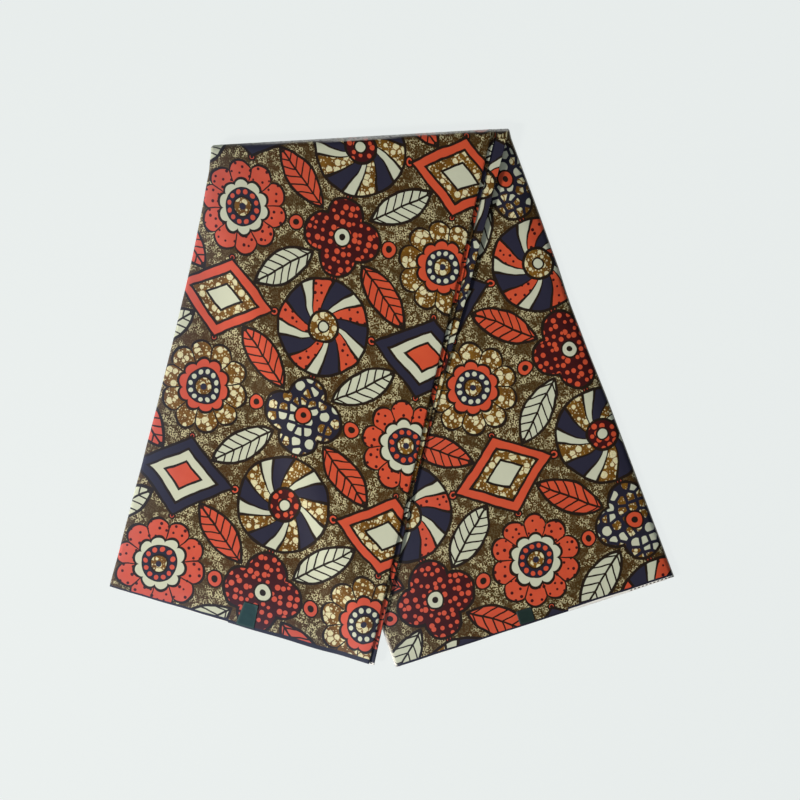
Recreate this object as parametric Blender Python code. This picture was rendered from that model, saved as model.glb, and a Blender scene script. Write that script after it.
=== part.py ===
"""A folded length of wax print cotton, lying flat.

The cloth is folded in half four times along its length, which gives a band of sixteen layers, and the
band is folded once more across its middle. That last fold is the crown, at the top. The two legs spread
below it, and the front leg lies on the back leg. Metres, +Z up, the floor at z = 0.

Every point of the band is given by three numbers:
  path    how far along the band: 0 to 1 up the front leg, 1 to 2 round the crown, 2 to 3 down the back leg
  across  metres from the band's left edge, which is the last of the four folds
  level   metres of cloth between the point and the inside of the crown
"""

import math
from collections import namedtuple

import bmesh
import bpy
from mathutils import Vector

# ---- the cloth ----
LAYERS = 16
LAYER_PITCH = 0.0005  # one layer of cotton and the air under it
STACK = LAYERS * LAYER_PITCH
WALL = 0.001  # the outer leaf
GAP = 0.0003  # clearance between solids
CREASE = 0.0003  # half the clearance between the two legs
NOSE = STACK / 2  # radius of the fold down the left edge
LIP = STACK / 4  # radius of the fold down the leaf's right edge

# ---- the plan ----
CROWN_LEFT = Vector((-0.2099, 0.2926))  # the crown's outer corner
CROWN_TILT = math.radians(3.28)
CROWN_AXIS = Vector((math.cos(CROWN_TILT), math.sin(CROWN_TILT)))
CROWN_OUT = Vector((-CROWN_AXIS.y, CROWN_AXIS.x))

# A leg's edges: where each starts along the crown, its lean from straight down (+ to the right), its length.
Edge = namedtuple("Edge", "start lean length")
FRONT_LEFT = Edge(0.0, -13.07, 0.5234)
FRONT_RIGHT = Edge(0.3267, -13.02, 0.6349)
BACK_LEFT = Edge(0.0, 19.46, 0.6410)
BACK_RIGHT = Edge(0.3460, 20.35, 0.5535)

# The right edge is three stacks of folds that end apart. Each row gives, at a place on the path, how far
# the top eight layers (leaf), the next four (nest) and the last four (ends) reach past the leg's edge.
Step = namedtuple("Step", "path leaf nest ends")
STEPS = [
    Step(0.00, 0.0, 0.0060, 0.0064),
    Step(0.10, 0.0, 0.0054, 0.0058),
    Step(0.20, 0.0, 0.0066, 0.0070),
    Step(0.34, 0.0, 0.0046, 0.0050),
    Step(0.42, 0.0, 0.0056, 0.0072),
    Step(0.55, 0.0, 0.0052, 0.0104),
    Step(0.70, 0.0, 0.0055, 0.0150),
    Step(0.85, 0.0, 0.0050, 0.0172),
    Step(1.00, 0.0, 0.0050, 0.0193),
    Step(2.00, -0.0193, -0.0143, 0.0),
    Step(3.00, -0.0110, -0.0060, 0.0),
]

# ---- how the legs lie ----
DRAPE_START = 0.010  # from the back leg's left edge, the front leg comes down to the floor
DRAPE_REACH = 0.055
DROOP = 0.2  # slope of the back leg's upper layers, past the folds that carry them
DROOP_START = 0.0003

# ---- the mesh ----
COLUMNS = 12
CROWN_STEPS = 8
END_STATION = 0.012  # from each cut end, inside which the layers end apart
NOSE_STEPS = 6
LIP_STEPS = 4
LIP_END = math.radians(-45)
FRONT_STATIONS = (0.10, 0.20, 0.27, 0.34, 0.42, 0.48, 0.55, 0.62, 0.70, 0.78, 0.85, 0.93)
BACK_STATIONS = (0.15, 0.35, 0.55, 0.75, 0.9)
LEAF_INSET = 0.0015  # the hidden leaf ends short of the one that shows

# The inner layers' edges, from the outer level to the inner one: the level of each row, its angle round
# the left fold, its right point (which stack, how far past it, at what level), its inset at the cut ends.
Row = namedtuple("Row", "level nose_angle stack past edge_level inset")
CORE_ROWS = [
    Row(0.00700, 75, "leaf", -0.00165, 0.00691, 0.0020),
    Row(0.00630, 50, "leaf", -0.00130, 0.00630, 0.0014),
    Row(0.00560, 30, "leaf", -0.00165, 0.00570, 0.0018),
    Row(0.00460, 8, "leaf", -0.00195, 0.00440, 0.0070),
    Row(0.00395, -8, "nest", -0.00070, 0.00395, 0.0026),
    Row(0.00320, -25, "nest", 0.00000, 0.00320, 0.0016),
    Row(0.00260, -42, "nest", -0.00050, 0.00260, 0.0022),
    Row(0.00240, -50, "nest", -0.00300, 0.00240, 0.0070),
    Row(0.00220, -60, "ends", -0.00030, 0.00220, 0.0014),
    Row(0.00160, -78, "ends", -0.00020, 0.00160, 0.0010),
]

# Two blank labels, where each leg is flat on the floor: centre, size and turn.
LABEL_THICKNESS = 0.0005
LABEL_CORNER = 0.0015
Label = namedtuple("Label", "name x y width height turn")
LABELS = [
    Label("label_front", -0.1664, -0.2512, 0.0180, 0.0260, -16.5),
    Label("label_back", 0.1555, -0.2500, 0.0165, 0.0200, 15.0),
]

Finish = namedtuple("Finish", "color roughness metallic")
FINISHES = {
    "printed_cotton": Finish((0.42, 0.13, 0.06, 1.0), 0.75, 0.0),
    "layered_cotton": Finish((0.22, 0.12, 0.05, 1.0), 0.85, 0.0),
    "label_paper": Finish((0.04, 0.09, 0.09, 1.0), 0.5, 0.0),
}


def smooth_step(x):
    x = min(1.0, max(0.0, x))
    return x * x * (3 - 2 * x)


def lean_direction(edge):
    lean = math.radians(edge.lean)
    return Vector((math.sin(lean), -math.cos(lean)))


def crown_point(edge):
    """Where the edge starts on the axis that the crown turns round."""
    direction = lean_direction(edge)
    inward = (STACK + CREASE) / direction.dot(-CROWN_OUT)
    return CROWN_LEFT + CROWN_AXIS * edge.start + direction * inward


def cut_point(edge):
    """Where the edge meets the leg's cut end."""
    return CROWN_LEFT + CROWN_AXIS * edge.start + lean_direction(edge) * edge.length


FRONT_TOP = crown_point(FRONT_LEFT), crown_point(FRONT_RIGHT)
FRONT_END = cut_point(FRONT_LEFT), cut_point(FRONT_RIGHT)
BACK_TOP = crown_point(BACK_LEFT), crown_point(BACK_RIGHT)
BACK_END = cut_point(BACK_LEFT), cut_point(BACK_RIGHT)


def cross_line(path):
    """The band's left and right points at a place on the path, in plan."""
    spans = ((FRONT_END, FRONT_TOP), (FRONT_TOP, BACK_TOP), (BACK_TOP, BACK_END))
    span = min(2, int(path))
    low, high = spans[span]
    return [a.lerp(b, path - span) for a, b in zip(low, high)]


def stack_edges(path):
    """How far across the leaf, the nest and the ends reach at a place on the path."""
    left, right = cross_line(path)
    width = (right - left).length
    for low, high in zip(STEPS, STEPS[1:]):
        if path <= high.path:
            break
    share = (path - low.path) / (high.path - low.path)
    reach = {}
    for stack in ("leaf", "nest", "ends"):
        start, end = getattr(low, stack), getattr(high, stack)
        reach[stack] = width + start + (end - start) * share
    return reach


def carried_edge(path):
    """The plan point on the back leg past which only its upper layers reach."""
    left, right = cross_line(path)
    return left + (right - left).normalized() * (stack_edges(path)["leaf"] - LIP)


def right_of(point, start, end):
    """How far a plan point lies to the right of a line that runs downwards."""
    along = (end - start).normalized()
    return (point - start).dot(Vector((-along.y, along.x)))


CARRIED_LINE = carried_edge(2.0), carried_edge(3.0)
BACK_EDGE_LINE = BACK_TOP[0], BACK_END[0]


def place(path, across, level):
    """The point in space of a place in the band."""
    turn = math.pi * min(1.0, max(0.0, path - 1.0))
    left, right = cross_line(path)
    plan = left + (right - left).normalized() * across + CROWN_OUT * (level * math.sin(turn))
    front_share = (1 + math.cos(turn)) / 2
    outside = -right_of(plan, *BACK_EDGE_LINE)
    drape = (STACK + 2 * CREASE) * smooth_step((outside - DRAPE_START) / DRAPE_REACH)
    droop = DROOP * max(0.0, right_of(plan, *CARRIED_LINE) - DROOP_START)
    height = STACK + CREASE + level * math.cos(turn)
    height -= front_share * drape + (1 - front_share) * droop
    return Vector((plan.x, plan.y, height))


def path_inset(path, inset):
    """A cut end's path value, moved into the leg by some metres."""
    if path == 0.0:
        return inset / FRONT_LEFT.length
    if path == 3.0:
        return 3.0 - inset / BACK_LEFT.length
    return path


def stations():
    """The path values of all cross sections, from one cut end to the other."""
    front = [0.0, END_STATION / FRONT_LEFT.length, *FRONT_STATIONS]
    crown = [1.0 + step / CROWN_STEPS for step in range(CROWN_STEPS + 1)]
    back = [2.0 + share for share in BACK_STATIONS]
    return front + crown + back + [3.0 - END_STATION / BACK_LEFT.length, 3.0]


def flat_columns(leaf):
    """Places across the leaf, between the round of its left fold and that of its right fold."""
    return [NOSE + (leaf - LIP - NOSE) * column / COLUMNS for column in range(COLUMNS + 1)]


def leaf_section(path):
    """Pairs of (across, level) points, outer and inner, round the outer leaf, and each pair's end inset.

    They run from the raw edge of the leaf inside the crown, round the left fold, to the right fold."""
    reach = stack_edges(path)
    flat = flat_columns(reach["leaf"])
    inner_inset, outer_inset = (LEAF_INSET, 0.0) if path == 0.0 else (0.0, LEAF_INSET)
    pairs = []
    for across in [reach["ends"], *reversed(flat)]:
        pairs.append(((across, CREASE), (across, CREASE + WALL), inner_inset))
    for step in range(1, NOSE_STEPS):
        angle = math.radians(270 - 180 * step / NOSE_STEPS)
        cos, sin = math.cos(angle), math.sin(angle)
        outer = (NOSE + NOSE * cos, CREASE + NOSE + NOSE * sin)
        inner = (NOSE + (NOSE - WALL) * cos, CREASE + NOSE + (NOSE - WALL) * sin)
        pairs.append((outer, inner, inner_inset + (outer_inset - inner_inset) * step / NOSE_STEPS))
    for across in flat:
        pairs.append(((across, CREASE + STACK), (across, CREASE + STACK - WALL), outer_inset))
    centre, middle = reach["leaf"] - LIP, CREASE + STACK - LIP
    for step in range(1, LIP_STEPS + 1):
        angle = math.pi / 2 + (LIP_END - math.pi / 2) * step / LIP_STEPS
        cos, sin = math.cos(angle), math.sin(angle)
        outer = (centre + LIP * cos, middle + LIP * sin)
        inner = (centre + (LIP - WALL) * cos, middle + (LIP - WALL) * sin)
        pairs.append((outer, inner, outer_inset))
    return pairs


def core_rows(path):
    """The inner layers' points at a place on the path, a row for each level, and each row's end inset."""
    reach = stack_edges(path)
    radius = NOSE - WALL - GAP
    rows = []
    for row in CORE_ROWS:
        angle = math.radians(row.nose_angle)
        left = (NOSE - radius * math.cos(angle), CREASE + NOSE + radius * math.sin(angle))
        right = (reach[row.stack] + row.past, row.edge_level)
        flat = [(across, row.level) for across in flat_columns(reach["leaf"])]
        rows.append(([left, *flat, right], row.inset))
    return rows


def add_points(mesh, path, section):
    """Vertices for (across, level, end inset) points, each with how far across it lies."""
    found = []
    for across, level, inset in section:
        vertex = mesh.verts.new(place(path_inset(path, inset), across, level))
        found.append((vertex, across))
    return found


def add_quad(mesh, a, b, c, d):
    """Two triangles, divided from the corner with the smaller across value of a and b.

    Stacked surfaces divide alike, so that they keep their clearance where they curve."""
    if a[1] <= b[1]:
        corners = ((a, b, c), (a, c, d))
    else:
        corners = ((b, c, d), (b, d, a))
    for triangle in corners:
        mesh.faces.new([vertex for vertex, _ in triangle])


def add_sides(mesh, loops):
    """The faces between cross sections, each a closed loop of points."""
    for low, high in zip(loops, loops[1:]):
        for i in range(len(low)):
            j = (i + 1) % len(low)
            add_quad(mesh, low[i], low[j], high[j], high[i])


def finished_object(name, mesh, material, sharp_angle=50):
    """Turns the faces outwards and makes the named object."""
    bmesh.ops.recalc_face_normals(mesh, faces=mesh.faces)
    data = bpy.data.meshes.new(name)
    mesh.to_mesh(data)
    mesh.free()
    data.materials.append(material)
    data.shade_smooth()
    data.set_sharp_from_angle(angle=math.radians(sharp_angle))
    result = bpy.data.objects.new(name, data)
    bpy.context.scene.collection.objects.link(result)
    return result


def make_material(name):
    finish = FINISHES[name]
    material = bpy.data.materials.new(name)
    material.use_nodes = True
    shader = material.node_tree.nodes["Principled BSDF"]
    shader.inputs["Base Color"].default_value = finish.color
    shader.inputs["Roughness"].default_value = finish.roughness
    shader.inputs["Metallic"].default_value = finish.metallic
    return material


def build_outer_leaf(material):
    """The leaf that shows: the front leg's top, the crown, the left fold and the back leg's top."""
    mesh = bmesh.new()
    loops, walls = [], []
    for path in stations():
        pairs = leaf_section(path)
        outer = add_points(mesh, path, [(*outer, inset) for outer, _, inset in pairs])
        inner = add_points(mesh, path, [(*inner, inset) for _, inner, inset in pairs])
        loops.append(outer + inner[::-1])
        walls.append((outer, inner))
    add_sides(mesh, loops)
    for outer, inner in (walls[0], walls[-1]):
        for i in range(len(outer) - 1):
            add_quad(mesh, outer[i], outer[i + 1], inner[i + 1], inner[i])
    return finished_object("outer_leaf", mesh, material)


def build_inner_layers(material):
    """The fourteen layers between, as one rounded solid with its folds and cut ends stepped apart."""
    mesh = bmesh.new()
    loops = []
    for path in stations():
        rows = core_rows(path)
        grid = []
        if path in (0.0, 3.0):
            for points, inset in rows:
                grid.append(add_points(mesh, path, [(*point, inset) for point in points]))
            for low, high in zip(grid, grid[1:]):
                for i in range(len(low) - 1):
                    add_quad(mesh, low[i], low[i + 1], high[i + 1], high[i])
            left, right = [row[0] for row in grid], [row[-1] for row in grid]
            top, bottom = grid[0][1:-1], grid[-1][1:-1]
        else:
            left = add_points(mesh, path, [(*points[0], 0.0) for points, _ in rows])
            right = add_points(mesh, path, [(*points[-1], 0.0) for points, _ in rows])
            top = add_points(mesh, path, [(*point, 0.0) for point in rows[0][0][1:-1]])
            bottom = add_points(mesh, path, [(*point, 0.0) for point in rows[-1][0][1:-1]])
        loops.append(left[::-1] + top + right + bottom[::-1])
    add_sides(mesh, loops)
    return finished_object("inner_layers", mesh, material)


def build_label(label, material):
    """A thin blank label on a flat stretch of the cloth."""
    mesh = bmesh.new()
    bmesh.ops.create_cube(mesh, size=1.0)
    bmesh.ops.scale(mesh, vec=(label.width, label.height, LABEL_THICKNESS), verts=mesh.verts)
    upright = [e for e in mesh.edges if abs(e.verts[0].co.z - e.verts[1].co.z) > LABEL_THICKNESS / 2]
    bmesh.ops.bevel(mesh, geom=upright, offset=LABEL_CORNER, segments=3, affect="EDGES", profile=0.5)
    result = finished_object(label.name, mesh, material)
    result.location = (label.x, label.y, STACK + GAP + LABEL_THICKNESS / 2)
    result.rotation_euler = (0.0, 0.0, math.radians(label.turn))
    return result


def main():
    for old in list(bpy.data.objects):
        bpy.data.objects.remove(old, do_unlink=True)
    materials = {name: make_material(name) for name in FINISHES}
    build_outer_leaf(materials["printed_cotton"])
    build_inner_layers(materials["layered_cotton"])
    for label in LABELS:
        build_label(label, materials["label_paper"])


main()
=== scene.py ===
import math
from collections import namedtuple

import bpy
from mathutils import Matrix, Vector, noise


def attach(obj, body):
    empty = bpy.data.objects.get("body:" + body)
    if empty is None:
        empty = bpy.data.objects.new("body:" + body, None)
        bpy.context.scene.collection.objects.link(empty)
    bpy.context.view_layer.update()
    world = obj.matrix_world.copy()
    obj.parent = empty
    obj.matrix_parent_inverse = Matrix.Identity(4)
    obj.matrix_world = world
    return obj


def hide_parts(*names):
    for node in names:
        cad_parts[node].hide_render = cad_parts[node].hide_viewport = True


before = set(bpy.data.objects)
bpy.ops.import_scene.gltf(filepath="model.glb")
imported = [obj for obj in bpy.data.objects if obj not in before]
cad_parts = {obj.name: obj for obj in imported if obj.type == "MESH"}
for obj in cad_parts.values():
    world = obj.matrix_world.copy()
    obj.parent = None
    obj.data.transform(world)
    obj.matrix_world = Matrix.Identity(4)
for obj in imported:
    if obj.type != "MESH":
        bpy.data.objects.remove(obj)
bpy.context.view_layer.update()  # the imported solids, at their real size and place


# Camera, floor and light.
view = {
    "centre": (0.0092, -0.0013),
    "height": 2.5,
    "across": 0.9312,  # what the frame takes in, at the height of the cloth
    "clothHeight": 0.01,
    "sensor": 36.0,  # mm
}

studio = {
    "floorSize": 8.0,
    "floorDrop": 0.0002,  # just under the cloth
    "floorColour": (70, 72, 72),
    "floorGlow": (233, 238, 237),  # evens out the pale ground, as a light table does
    "glowStrength": 0.94,
    "worldColour": (236, 240, 244),
    "worldStrength": 0.19,
    "lamps": [  # name, place, aim, size, spread in degrees, watts, colour
        ("keyLamp", (-2.28, -1.15, 1.82), (-0.12, -0.09, 0.0), 0.54, 60.0, 11.1, (255, 247, 235)),
        ("fillLamp", (-0.4, -1.2, 2.6), (0.0, 0.0, 0.0), 1.8, 180.0, 6.0, (246, 249, 255)),
    ],
}


scene = bpy.context.scene


def linear(rgb):
    # a screen colour, 0 to 255, as the light values that Blender takes
    parts = [part / 255 for part in rgb]
    return (*(part / 12.92 if part <= 0.04045 else ((part + 0.055) / 1.055) ** 2.4 for part in parts), 1.0)


def putIn(name, data):
    holder = bpy.data.objects.new(name, data)
    scene.collection.objects.link(holder)
    return holder


def makeCamera():
    camera = bpy.data.cameras.new("camera")
    camera.sensor_width = view["sensor"]
    camera.lens = view["sensor"] * (view["height"] - view["clothHeight"]) / view["across"]
    scene.camera = putIn("camera", camera)
    scene.camera.location = (*view["centre"], view["height"])


def makeStudio():
    half = studio["floorSize"] / 2
    mesh = bpy.data.meshes.new("floor")
    corners = [(-half, -half, 0), (half, -half, 0), (half, half, 0), (-half, half, 0)]
    mesh.from_pydata(corners, [], [(0, 1, 2, 3)])
    floor = putIn("floor", mesh)
    floor.location.z = -studio["floorDrop"]
    mesh.materials.append(newMaterial("paleFloor", {
        "Base Color": linear(studio["floorColour"]), "Emission Color": linear(studio["floorGlow"]),
        "Emission Strength": studio["glowStrength"], "Roughness": 0.9, "Specular IOR Level": 0.0,
    })[0])
    for name, at, aim, size, spread, watts, colour in studio["lamps"]:
        lamp = bpy.data.lights.new(name, "AREA")
        lamp.shape, lamp.size, lamp.energy, lamp.color = "DISK", size, watts, linear(colour)[:3]
        lamp.spread = math.radians(spread)
        holder = putIn(name, lamp)
        holder.location = at
        holder.rotation_euler = (Vector(aim) - Vector(at)).to_track_quat("-Z", "Y").to_euler()
    world = bpy.data.worlds.new("studioWorld")
    world.use_nodes = True
    back = world.node_tree.nodes["Background"]
    back.inputs["Color"].default_value = linear(studio["worldColour"])
    back.inputs["Strength"].default_value = studio["worldStrength"]
    scene.world = world
    scene.view_settings.view_transform = "Standard"


# Shader and geometry maths are written as expressions.
def operator(kind):
    return lambda socket, other: socket.graph.math(kind, socket, other)


class Socket:  # one output of a node
    def __init__(self, graph, output):
        self.graph, self.output = graph, output

    __add__ = __radd__ = operator("ADD")
    __sub__ = operator("SUBTRACT")
    __mul__ = __rmul__ = operator("MULTIPLY")
    __truediv__ = operator("DIVIDE")

    def __rsub__(self, other):
        return self.graph.math("SUBTRACT", other, self)

    def __abs__(self):
        return self.graph.math("ABSOLUTE", self)


class Graph:  # a node tree
    def __init__(self, tree):
        self.tree = tree

    def feed(self, name, value):
        self.tree.links.new(value.output, self.tree.nodes["Principled BSDF"].inputs[name])

    def feedBump(self, height, strength):
        sockets = {"Height": height, "Strength": strength, "Distance": 1.0}
        self.feed("Normal", self.get("ShaderNodeBump", None, sockets))

    def node(self, kind, settings=None, sockets=None):
        # settings come first, then the values or links of the sockets
        node = self.tree.nodes.new(kind)
        for name, value in (settings or {}).items():
            setattr(node, name, value)
        for name, value in (sockets or {}).items():
            if isinstance(value, Socket):
                self.tree.links.new(value.output, node.inputs[name])
            else:
                node.inputs[name].default_value = value
        return node

    def get(self, kind, settings=None, sockets=None, output=0):
        return Socket(self, self.node(kind, settings, sockets).outputs[output])

    def math(self, operation, *values, clamp=False):
        settings = {"operation": operation, "use_clamp": clamp}
        return self.get("ShaderNodeMath", settings, dict(enumerate(values)))

    def split(self, value, kind="XYZ"):
        # the three parts of a vector or a colour
        node = self.node("ShaderNodeSeparate" + kind, None, {0: value})
        return [Socket(self, part) for part in node.outputs]

    def vector(self, x, y, z=0.0):
        return self.get("ShaderNodeCombineXYZ", None, {"X": x, "Y": y, "Z": z})

    def vectorMath(self, operation, *values, output=0):
        return self.get("ShaderNodeVectorMath", {"operation": operation}, dict(enumerate(values)), output)

    def length(self, x, y):
        return self.vectorMath("LENGTH", self.vector(x, y), output="Value")

    def mix(self, factor, first, second):
        # first where the factor is 0, second where it is 1
        settings = {"data_type": "RGBA", "clamp_factor": True}
        return self.get("ShaderNodeMix", settings, {0: factor, 6: first, 7: second}, 2)

    def inside(self, distance, soft=0.0003):
        # 1 where a signed distance is below zero, with a soft edge
        return self.math("MULTIPLY_ADD", distance, -1 / soft, 0.5, clamp=True)

    def wrap(self, value, size):
        # the value within a repeat, from -size / 2 to size / 2
        return self.math("FLOORED_MODULO", value + size / 2, size) - size / 2

    def attribute(self, name):
        return self.get("ShaderNodeAttribute", {"attribute_name": name}, None, "Fac")

    def noise(self, where, scale, detail, flat=True, output=0, **more):
        sockets = {"Vector": where, "Scale": scale, "Detail": detail, **more}
        return self.get("ShaderNodeTexNoise", {"noise_dimensions": "2D" if flat else "3D"}, sockets, output)


def newMaterial(name, values):
    material = bpy.data.materials.new(name)
    material.use_nodes = True
    for socket, value in values.items():
        material.node_tree.nodes["Principled BSDF"].inputs[socket].default_value = value
    return material, Graph(material.node_tree)


# The print: flowers, whirls, lozenges, knots and leaves on a speckled ground.
inks = {name: linear(rgb) for name, rgb in {
    "coral": (218, 90, 55),
    "coralDeep": (204, 75, 50),
    # coral with painted sheen on it, pinker
    "rose": (210, 99, 86),
    "maroon": (63, 16, 19),
    "navy": (42, 42, 62),
    "navyDeep": (35, 35, 52),
    "outline": (34, 24, 16),
    "cream": (207, 213, 191),
    "bubbleCream": (226, 221, 178),
    "brown": (103, 68, 17),
    "amber": (128, 90, 26),
    "groundBrown": (79, 49, 11),
    "groundDark": (64, 51, 19),
    "groundSpeck": (206, 200, 158),
    "selvedge": (246, 246, 243),
    "thread": (212, 208, 194),
    # rubbed dye along the folds, also standing in for painted highlight on them
    "rubAndHighlight": (250, 249, 245),
    # the colour of the painted sheen: pale blue reflected light
    "paintedSheen": (177, 201, 243),
}.items()}

printSizes = {
    "repeat": (0.25, 0.212),  # across the cloth, along the band
    "shift": (0.052, 0.043),  # where the first flower lies
    "wobble": 0.0022,  # how far the drawn lines wander
    "line": 0.0033,
    "flower": {"radius": 0.055, "lobe": 0.0115, "petals": 10, "heart": 0.0275, "ring": 0.0215,
               "beads": (12, 0.0165, 0.0028), "eye": 0.0115},
    "whirl": {"radius": 0.0565, "arms": 5, "turn": (24.0, 190.0), "hub": 0.0195,
              "bands": (0.31, 0.365, 0.56, 0.615, 0.945)},
    "lozenge": {"half": (0.064, 0.048), "bands": (0.003, 0.0115, 0.0145, 0.0235, 0.0262)},
    "knot": {"reach": 0.0235, "radius": 0.0245, "heart": 0.011},
    "leaf": {"at": (0.0625, 0.053), "turn": 50.0, "half": (0.019, 0.044), "vein": 0.0118},
    "berry": [(0.067, 0.0, 0.01), (0.0, 0.0585, 0.0045), (0.064, 0.106, 0.006),
              (0.125, 0.049, 0.0045)],
    "border": (0.0022, 0.008),  # its least width, and how fast it widens across the cloth
    "paleEdge": 0.0024,
    "bareFrom": (-0.2145, -0.29),  # the bare edge, and its ticks
    "tick": 0.0047,
    "paintedSheen": (0.06, 0.045),  # how strong the painted sheen, a pale blue veil of reflected light, is by the left fold and the first cut end, and how far in
    "roseReach": 0.09,  # how far in the coral is painted pinker there, as painted sheen
}

# How fine the fillings are, in cells a metre.
fillScales = {
    "wobble": 17.0, "drift": 46.0, "dots": 104.0, "spots": 112.0, "patches": 70.0, "bubbles": 108.0,
    "smallBubbles": 290.0, "veins": 230.0, "pebbles": 82.0, "rings": 190.0, "brokenRings": 380.0,
    "grains": 440.0, "clusters": 64.0, "ground": 24.0,
}

weave = {
    "threads": 11000.0,  # radians a metre
    "slubs": 900.0,
    "crumple": 34.0,
    "heights": (0.00002, 0.00004, 0.0009),  # of threads, slubs and crumple
    "bump": 0.55,
    "fray": 700.0,
}

line, dark = printSizes["line"], inks["outline"]  # the width and the colour of the drawn lines


def nearEdge(g, u, v, reach):
    # 1 at the left fold and the first cut end, fading inwards
    return g.math("EXPONENT", g.math("MINIMUM", abs(u), v) * (-1 / reach))


def fillings(g, u, v):
    # dotted coral, coral spots, bubbles on brown, pebbles on navy, and the speckled ground
    flat, scales = g.vector(u, v), fillScales

    def cells(scale, randomness, feature="F1"):
        return g.node("ShaderNodeTexVoronoi", {"voronoi_dimensions": "2D", "feature": feature},
                      {"Vector": flat, "Scale": scale, "Randomness": randomness})

    def speckle(scale, randomness, channel=0):
        # a scattering: distance from the nearest point, and a number that differs from point to point
        node = cells(scale, randomness)
        chance = g.split(Socket(g, node.outputs["Color"]), "Color")[channel]
        return Socket(g, node.outputs["Distance"]), chance

    def cracks(scale, randomness):
        return Socket(g, cells(scale, randomness, "DISTANCE_TO_EDGE").outputs["Distance"])

    drift = g.noise(flat, scales["drift"], 2.0)
    # painted sheen: the coral pinker by the left fold and the first cut end
    coral = g.mix(nearEdge(g, u, v, printSizes["roseReach"]), inks["coral"], inks["rose"])
    coral = g.mix(drift * 0.8, coral, inks["coralDeep"])
    away, chance = speckle(scales["dots"], 0.55)
    dotted = g.mix(g.inside(away - (chance * 0.08 + 0.13), 0.04), coral, inks["maroon"])
    away, chance = speckle(scales["spots"], 0.6)
    spots = g.mix(g.inside(away - (chance * 0.16 + 0.22), 0.04), inks["maroon"], coral)

    patch = g.noise(flat, scales["patches"], 2.0)
    brown = g.mix(g.math("MULTIPLY_ADD", patch, 3.0, -1.0, clamp=True), inks["brown"], inks["amber"])
    away, chance = speckle(scales["bubbles"], 0.9)
    walls = g.inside(0.045 - cracks(scales["bubbles"], 0.9), 0.03)
    blob = g.inside(away - (chance * 0.4 + 0.1), 0.06) * walls
    away, other = speckle(scales["smallBubbles"], 1.0)
    small = g.inside(away - (other * 0.34 - 0.02), 0.1) * 0.85
    vein = g.inside(cracks(scales["veins"], 1.0) - 0.022, 0.03) * g.inside(0.55 - chance, 0.1)
    bubbles = g.mix(g.math("MAXIMUM", blob, small), brown, inks["bubbleCream"])
    bubbles = g.mix(vein * blob * 0.6, bubbles, inks["brown"])

    away, chance = speckle(scales["pebbles"], 0.7, 1)
    stone = g.inside(0.15 - cracks(scales["pebbles"], 0.7), 0.03) * g.inside(away - 0.46, 0.03)
    stoneFill = g.mix(g.inside(0.55 - chance, 0.02), bubbles, inks["cream"])
    pebbles = g.mix(stone, inks["navyDeep"], stoneFill)

    # clusters of small broken rings and grains
    away, chance = speckle(scales["rings"], 0.95)
    broken = g.inside(g.noise(flat, scales["brokenRings"], 1.0) - 0.56, 0.1)
    ring = g.inside(abs(away - 0.31) - 0.115, 0.07) * broken
    away, other = speckle(scales["grains"], 1.0)
    grain = g.inside(away - (other * 0.34 + 0.06), 0.12) * 0.75
    cluster = g.math("MULTIPLY_ADD", g.noise(flat, scales["clusters"], 2.0), 7.0, -2.9, clamp=True)
    specks = g.math("MAXIMUM", ring * g.inside(0.22 - chance, 0.1), grain)
    specks = specks * g.math("MULTIPLY_ADD", cluster, 0.92, 0.08)
    ground = g.mix(g.noise(flat, scales["ground"], 2.0), inks["groundDark"], inks["groundBrown"])
    ground = g.mix(specks, ground, inks["groundSpeck"])
    return {"dotted": dotted, "spots": spots, "coral": coral, "bubbles": bubbles,
            "pebbles": pebbles, "ground": ground}


def layers(g, below, edge, *steps):
    # colours laid one inside the other within a dark line, each starting so far in from the edge
    for depth, colour in ((0.0, dark), *steps):
        below = g.mix(g.inside(edge + depth), below, colour)
    return below


def paintFlower(g, x, y, odd, below, fills):
    sizes = printSizes["flower"]
    r, angle = g.length(x, y), g.math("ARCTAN2", y, x)
    lobes = g.math("POWER", abs(g.math("COSINE", angle * (sizes["petals"] / 2))), 0.55)
    edge = r - lobes * sizes["lobe"] - (sizes["radius"] - sizes["lobe"])
    between = g.inside(lobes * 0.03 - 0.009, 0.002)
    petals = g.mix(odd, fills["dotted"], fills["bubbles"])
    colour = layers(g, below, edge, (line, g.mix(between, petals, dark)))
    heart = r - lobes * sizes["lobe"] * 0.5 - sizes["heart"]
    rim = g.mix(odd, inks["cream"], fills["coral"])
    colour = layers(g, colour, heart, (line, rim))
    colour = layers(g, colour, r - sizes["ring"], (0.0012, inks["navyDeep"]))
    count, out, radius = sizes["beads"]
    swing = g.wrap(angle, 2 * math.pi / count)
    bead = g.length(r * g.math("COSINE", swing) - out, r * g.math("SINE", swing)) - radius
    colour = g.mix(g.inside(bead), colour, g.mix(odd, fills["coral"], inks["cream"]))
    return layers(g, colour, r - sizes["eye"], (0.002, fills["bubbles"]), (0.0078, inks["navy"]))


def paintWhirl(g, x, y, odd, below, fills):
    sizes = printSizes["whirl"]
    r, angle = g.length(x, y), g.math("ARCTAN2", y, x)
    turn, back = sizes["turn"]
    phase = angle * (sizes["arms"] / (2 * math.pi)) + r * turn - r * r * back
    share = g.math("FRACT", phase + 20.0)
    arms = g.mix(odd, inks["navy"], fills["dotted"])
    between = g.mix(odd, fills["bubbles"], inks["navy"])
    colours = dark, inks["cream"], dark, between, dark
    for start, colour in zip(sizes["bands"], colours):
        arms = g.mix(g.inside(start - share, 0.01), arms, colour)
    colour = layers(g, below, r - sizes["radius"], (line, arms))
    hub = g.mix(odd, fills["spots"], fills["bubbles"])
    return layers(g, colour, r - sizes["hub"], (line, hub),
                  (0.012, dark), (0.014, inks["cream"]))


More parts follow.
